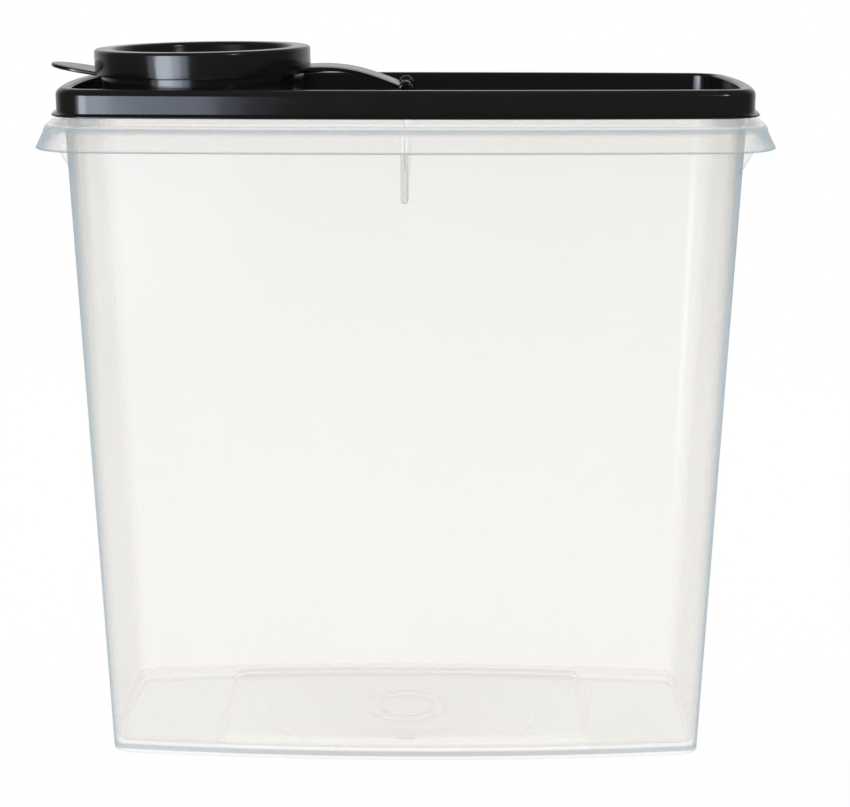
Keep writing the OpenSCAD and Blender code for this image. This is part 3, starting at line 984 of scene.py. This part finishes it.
def clear_plastic():
    """Milky clear plastic: see-through head on, milkier edge on, painted bluer and darker where it
    is thick, partly as painted shade.
    """
    material, nodes, links, output = new_material("milky_clear_plastic")
    facing = nodes.new("ShaderNodeLayerWeight")
    facing.inputs["Blend"].default_value = 0.5
    steep = power(nodes, links, facing.outputs["Facing"], 1.3)
    side = nodes.new("ShaderNodeNewGeometry")
    outer = ranged(nodes, links, side.outputs["Backfacing"], 1, 0, 0, 1)
    # The painted blue and shade, left out on faces seen from their back.
    edge = joined(nodes, links, "MULTIPLY", written(nodes, "blue_and_painted_shade"), outer)

    density = ranged(nodes, links, noise(nodes, links, 9, 2.0, (1, 1, 0.5)), 0.07, 0.09)
    marks = written(nodes, "milky")
    for value, most in ((steep, EDGE_ON_MILK), (edge, SHADED_BLUE_MILK), (marks, FLOOR_MILK)):
        density = joined(
            nodes, links, "ADD", density, ranged(nodes, links, value, 0, most, 0, 1)
        )

    warm = nodes.new("ShaderNodeValToRGB")
    warm.color_ramp.elements[0].color = WARM_MILK
    warm.color_ramp.elements[1].color = PALE_MILK
    warm.color_ramp.elements[1].position = 0.5
    links.new(steep, warm.inputs["Fac"])
    # This mix paints the blue-grey in: partly the thick plastic's tint, partly painted shade.
    tint = nodes.new("ShaderNodeMix")
    tint.data_type = "RGBA"
    tint.inputs["B"].default_value = BLUE_PAINTED_SHADE
    links.new(edge, tint.inputs["Factor"])
    links.new(warm.outputs["Color"], tint.inputs["A"])

    clear = nodes.new("ShaderNodeBsdfTransparent")
    front = nodes.new("ShaderNodeBsdfDiffuse")
    through = nodes.new("ShaderNodeBsdfTranslucent")
    links.new(tint.outputs["Result"], front.inputs["Color"])
    links.new(tint.outputs["Result"], through.inputs["Color"])
    cloud = nodes.new("ShaderNodeMixShader")
    links.new(front.outputs["BSDF"], cloud.inputs[1])
    links.new(through.outputs["BSDF"], cloud.inputs[2])
    body = nodes.new("ShaderNodeMixShader")
    links.new(density, body.inputs["Fac"])
    links.new(clear.outputs["BSDF"], body.inputs[1])
    links.new(cloud.outputs["Shader"], body.inputs[2])

    shine = nodes.new("ShaderNodeBsdfGlossy")
    haze = ranged(nodes, links, noise(nodes, links, 50), 0.12, 0.22)
    links.new(haze, shine.inputs["Roughness"])
    gloss = power(nodes, links, facing.outputs["Facing"], 5)
    mirror = nodes.new("ShaderNodeMixShader")
    links.new(ranged(nodes, links, gloss, 0.01, 0.2, 0, 1), mirror.inputs["Fac"])
    links.new(body.outputs["Shader"], mirror.inputs[1])
    links.new(shine.outputs["BSDF"], mirror.inputs[2])
    links.new(mirror.outputs["Shader"], output.inputs["Surface"])
    return material


black = black_plastic()
clear = clear_plastic()
finished(tub, "tub", "tub_body", clear)
finished(lid, "lid", "lid_body", black)
finished(cap, "spout_cap", "cap_body", black)

# %% [markdown]
# The container stands on a pale floor, and the room behind it is white to see. The floor's
# paint is lit like any other, but nearly all that the camera sees of it is a plain white
# glow, as in a photograph cut out on white, so that only a trace of its shadow is left.

# %% Floor
FLOOR_R = 0.6
FLOOR_GLOW = 0.97
FLOOR_PAINT = (0.9, 0.9, 0.9, 1)


def white_to_see(nodes, links):
    """Two values: 1 for rays that look at or through a surface, and 1 for rays off a gloss."""
    rays = nodes.new("ShaderNodeLightPath")
    looks = joined(
        nodes, links, "MAXIMUM", rays.outputs["Is Camera Ray"], rays.outputs["Is Transmission Ray"]
    )
    return looks, rays.outputs["Is Glossy Ray"]


def studio_white(name, glow):
    """A pale surface that mostly glows white for the rays that see it."""
    material, nodes, links, output = new_material(name)
    paint = nodes.new("ShaderNodeBsdfDiffuse")
    paint.inputs["Color"].default_value = FLOOR_PAINT
    light = nodes.new("ShaderNodeEmission")
    light.inputs["Color"].default_value = (1, 1, 1, 1)
    looks, glossy = white_to_see(nodes, links)
    seen = joined(nodes, links, "MAXIMUM", looks, glossy)
    amount = ranged(nodes, links, seen, 0, glow, 0, 1)
    mixed = nodes.new("ShaderNodeMixShader")
    links.new(amount, mixed.inputs["Fac"])
    links.new(paint.outputs["BSDF"], mixed.inputs[1])
    links.new(light.outputs["Emission"], mixed.inputs[2])
    links.new(mixed.outputs["Shader"], output.inputs["Surface"])
    return material


bpy.ops.object.select_all(action="DESELECT")
bpy.ops.mesh.primitive_circle_add(
    vertices=96, radius=FLOOR_R, fill_type="NGON", location=(0, 0, 0)
)
floor = bpy.context.object
floor.name = "floor"
floor.data.materials.append(studio_white("floor_paint", FLOOR_GLOW))
print("floor:", len(floor.data.polygons), "face")

# %% [markdown]
# Black gloss shows the room and hardly its own colour, so the room matters. Behind the
# container is the white sweep, and in front the studio is dark but for one tall softbox at
# the left, whose reflection runs along the lid's skirt and fades to the right. Five strips
# side by side, brightest just left of their middle, make that softbox. A small lamp high at
# the right puts a thin line of light on the lid's corner there, and one large lamp overhead
# lights the plastic without showing in its gloss.

# %% Lights
OVERHEAD_W = 6
STRIP_LEVELS = (0.2, 1.3, 1.35, 0.9, 0.45)
STRIP_STEP = 0.1225
STRIP_SIZE = (0.123, 0.5)
STRIP_W = 1.75
STRIP_WAY = (0.84, -0.543)
STRIP_MIDDLE = (-0.465, -0.675)
STRIP_AIM_Y = 0.045
STRIP_Z = 0.21
CORNER_W = 0.6


def softbox(name, place, target, size, power_w):
    """A rectangular lamp that faces a point."""
    bpy.ops.object.light_add(type="AREA", location=place)
    lamp = bpy.context.object
    lamp.name = name
    lamp.data.shape = "RECTANGLE"
    lamp.data.size = size[0]
    lamp.data.size_y = size[1]
    lamp.data.energy = power_w
    lamp.visible_camera = False
    way = Vector(target) - Vector(place)
    lamp.rotation_euler = way.to_track_quat("-Z", "Y").to_euler()
    return lamp


overhead = softbox("overhead", (0, 0.1, 1.3), (0, 0, 0.1), (1.2, 1.0), OVERHEAD_W)
overhead.visible_glossy = False
for count, level in enumerate(STRIP_LEVELS):
    along_x, along_y = [value * (count - 2) * STRIP_STEP for value in STRIP_WAY]
    place = (STRIP_MIDDLE[0] + along_x, STRIP_MIDDLE[1] + along_y, STRIP_Z)
    aim = (along_x, STRIP_AIM_Y + along_y, STRIP_Z)
    strip = softbox(f"side_strip_{count}", place, aim, STRIP_SIZE, STRIP_W * level)
    strip.data.color = (0.85 - 0.035 * count, 0.92 - 0.028 * count, 1)
    strip.visible_diffuse = False
corner_light = softbox(
    "corner_light", (0.4, -0.55, 0.62), (0.113, -0.04, 0.235), (0.12, 0.12), CORNER_W
)
corner_light.visible_diffuse = False

# %% [markdown]
# The room is one background for light, and another for what is seen. Light comes evenly from
# a pale room. Gloss reflects a dark one, apart from the white sweep behind and low down, and
# the camera sees plain white, directly and through the clear walls.

# %% The room around
SWEEP_SHINE = 0.65
world = bpy.data.worlds.new("studio")
bpy.context.scene.world = world
world.use_nodes = True
nodes = world.node_tree.nodes
links = world.node_tree.links
nodes.clear()
room = nodes.new("ShaderNodeBackground")
room.inputs["Color"].default_value = (0.95, 0.95, 0.95, 1)
dark = nodes.new("ShaderNodeBackground")
dark.inputs["Color"].default_value = (0.105, 0.1, 0.096, 1)
white = nodes.new("ShaderNodeBackground")
white.inputs["Color"].default_value = (1, 1, 1, 1)
direction = nodes.new("ShaderNodeTexCoord")
parts = nodes.new("ShaderNodeSeparateXYZ")
links.new(direction.outputs["Generated"], parts.inputs["Vector"])
behind = ranged(nodes, links, parts.outputs["Y"], 0, 1, 0.3, 0.8)
low = ranged(nodes, links, parts.outputs["Z"], 1, 0, 0.35, 0.75)
looks, glossy = white_to_see(nodes, links)
sweep = joined(nodes, links, "MULTIPLY", behind, low)
sweep_off_gloss = ranged(
    nodes, links, joined(nodes, links, "MULTIPLY", sweep, glossy), 0, SWEEP_SHINE, 0, 1
)
unlit = nodes.new("ShaderNodeMixShader")
links.new(glossy, unlit.inputs["Fac"])
links.new(room.outputs["Background"], unlit.inputs[1])
links.new(dark.outputs["Background"], unlit.inputs[2])
both = nodes.new("ShaderNodeMixShader")
links.new(joined(nodes, links, "MAXIMUM", looks, sweep_off_gloss), both.inputs["Fac"])
links.new(unlit.outputs["Shader"], both.inputs[1])
links.new(white.outputs["Background"], both.inputs[2])
surface = nodes.new("ShaderNodeOutputWorld")
links.new(both.outputs["Shader"], surface.inputs["Surface"])
bpy.context.scene.view_settings.view_transform = "Standard"
print("world nodes:", len(nodes))

# %% [markdown]
# The camera sees the container as the photograph does. Its distance, height, tilt, turn and
# focal length were fitted to the photograph, and are kept as real sizes and pixel counts.

# %% The camera of the photograph
SENSOR_W = 36
PHOTO_W_PX = 850
FOCAL_PX = 1933
SHIFT_PX = 19
CAMERA_AWAY = 0.685
CAMERA_Z = 0.2882
CAMERA_DOWN = 13.64
CAMERA_TURN = math.radians(0.62)

camera_data = bpy.data.cameras.new("camera")
camera_data.sensor_width = SENSOR_W
camera_data.lens = SENSOR_W * FOCAL_PX / PHOTO_W_PX
camera_data.shift_x = SHIFT_PX / PHOTO_W_PX
camera = bpy.data.objects.new("camera", camera_data)
camera.location = (
    CAMERA_AWAY * math.sin(CAMERA_TURN), -CAMERA_AWAY * math.cos(CAMERA_TURN), CAMERA_Z
)
camera.rotation_euler = (math.radians(90 - CAMERA_DOWN), 0, CAMERA_TURN)
bpy.context.scene.collection.objects.link(camera)
bpy.context.scene.camera = camera
print("camera at", tuple(camera.location))
